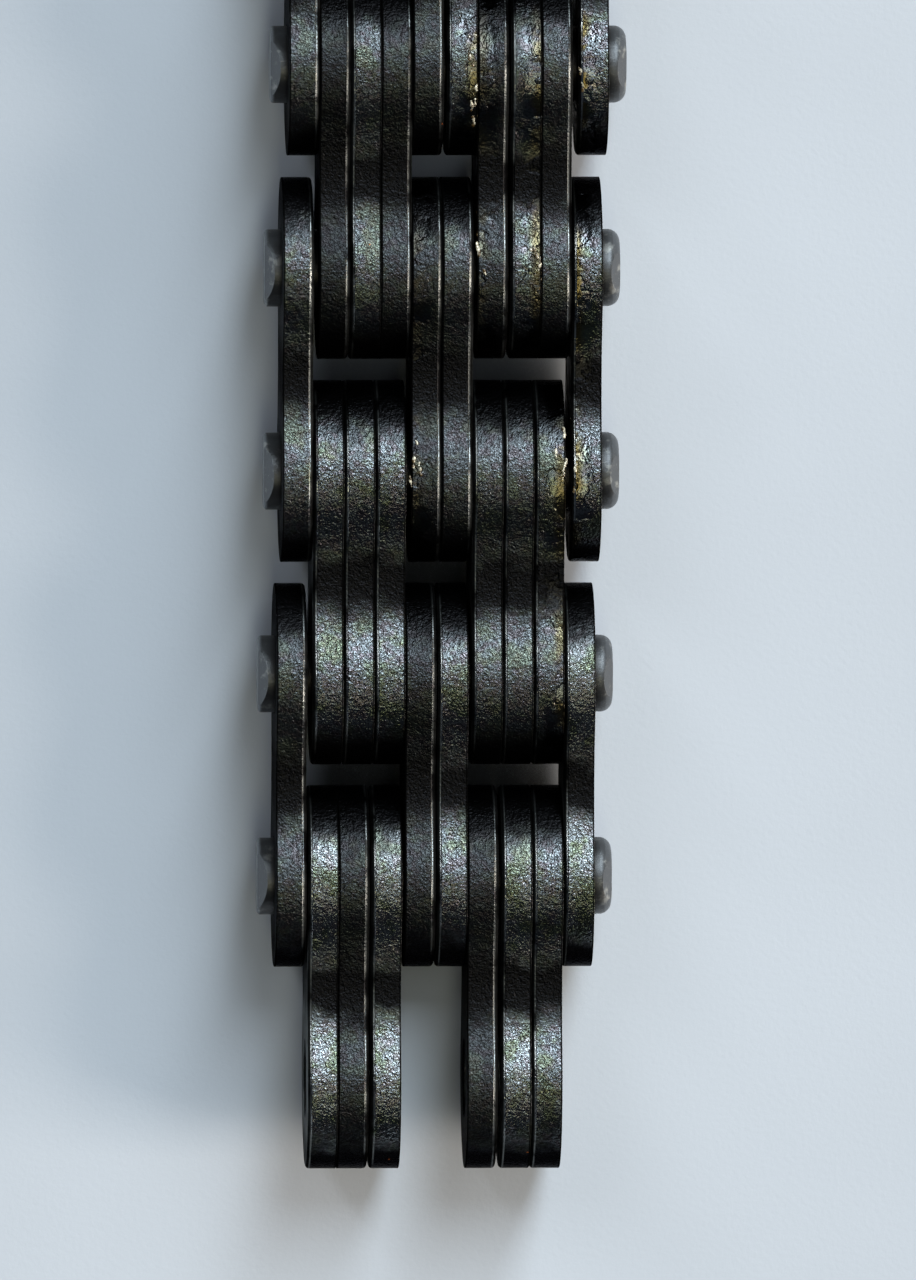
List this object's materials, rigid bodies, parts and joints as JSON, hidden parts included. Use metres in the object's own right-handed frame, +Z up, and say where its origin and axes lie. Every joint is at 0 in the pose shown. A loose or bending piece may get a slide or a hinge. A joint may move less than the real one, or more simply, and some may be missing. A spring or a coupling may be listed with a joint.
{
  "type": "leaf chain",
  "caption": "Short length of heavy leaf chain: stacked figure-eight plates on staked cross pins, hinged at every pin, with open bores at both ends.",
  "frame": {"origin": "middle of the chain's underside, on the surface that the plates stand on", "axes": "+X along the pins, +Y along the chain away from the pictured open end, +Z up"},
  "size_m": [0.0282, 0.1252, 0.014],
  "materials": {
    "inner_plates": "satin",
    "outer_plates": "satin",
    "pins": "satin"
  },
  "bodies": {
    "inner_link_1": {"inner_plate_1_a": "inner_plates", "inner_plate_1_b": "inner_plates", "inner_plate_1_c": "inner_plates", "inner_plate_1_d": "inner_plates", "inner_plate_1_e": "inner_plates", "inner_plate_1_f": "inner_plates"},
    "outer_link_2": {"outer_plate_2_left": "outer_plates", "outer_plate_2_right": "outer_plates", "middle_plate_2_left": "outer_plates", "middle_plate_2_right": "outer_plates", "pin_1": "pins", "pin_2": "pins"},
    "inner_link_3": {"inner_plate_3_a": "inner_plates", "inner_plate_3_b": "inner_plates", "inner_plate_3_c": "inner_plates", "inner_plate_3_d": "inner_plates", "inner_plate_3_e": "inner_plates", "inner_plate_3_f": "inner_plates"},
    "outer_link_4": {"outer_plate_4_left": "outer_plates", "outer_plate_4_right": "outer_plates", "middle_plate_4_left": "outer_plates", "middle_plate_4_right": "outer_plates", "pin_3": "pins", "pin_4": "pins"},
    "inner_link_5": {"inner_plate_5_a": "inner_plates", "inner_plate_5_b": "inner_plates", "inner_plate_5_c": "inner_plates", "inner_plate_5_d": "inner_plates", "inner_plate_5_e": "inner_plates", "inner_plate_5_f": "inner_plates"},
    "outer_link_6": {"outer_plate_6_left": "outer_plates", "outer_plate_6_right": "outer_plates", "middle_plate_6_left": "outer_plates", "middle_plate_6_right": "outer_plates", "pin_5": "pins", "pin_6": "pins"},
    "inner_link_7": {"inner_plate_7_a": "inner_plates", "inner_plate_7_b": "inner_plates", "inner_plate_7_c": "inner_plates", "inner_plate_7_d": "inner_plates", "inner_plate_7_e": "inner_plates", "inner_plate_7_f": "inner_plates"}
  },
  "joints": [
    {"name": "pin_3_hinge", "type": "hinge", "parent": "outer_link_4", "child": "inner_link_3", "pos_m": [0, -0.00794, 0.00702], "axis": [1, 0, 0], "range_deg": [-70, 70]},
    {"name": "pin_2_hinge", "type": "hinge", "parent": "inner_link_3", "child": "outer_link_2", "pos_m": [0, -0.02381, 0.00702], "axis": [1, 0, 0], "range_deg": [-70, 70]},
    {"name": "pin_1_hinge", "type": "hinge", "parent": "outer_link_2", "child": "inner_link_1", "pos_m": [0, -0.03969, 0.00702], "axis": [1, 0, 0], "range_deg": [-70, 70]},
    {"name": "pin_4_hinge", "type": "hinge", "parent": "outer_link_4", "child": "inner_link_5", "pos_m": [0, 0.00794, 0.00702], "axis": [1, 0, 0], "range_deg": [-70, 70]},
    {"name": "pin_5_hinge", "type": "hinge", "parent": "inner_link_5", "child": "outer_link_6", "pos_m": [0, 0.02381, 0.00702], "axis": [1, 0, 0], "range_deg": [-70, 70]},
    {"name": "pin_6_hinge", "type": "hinge", "parent": "outer_link_6", "child": "inner_link_7", "pos_m": [0, 0.03969, 0.00702], "axis": [1, 0, 0], "range_deg": [-70, 70]}
  ]
}
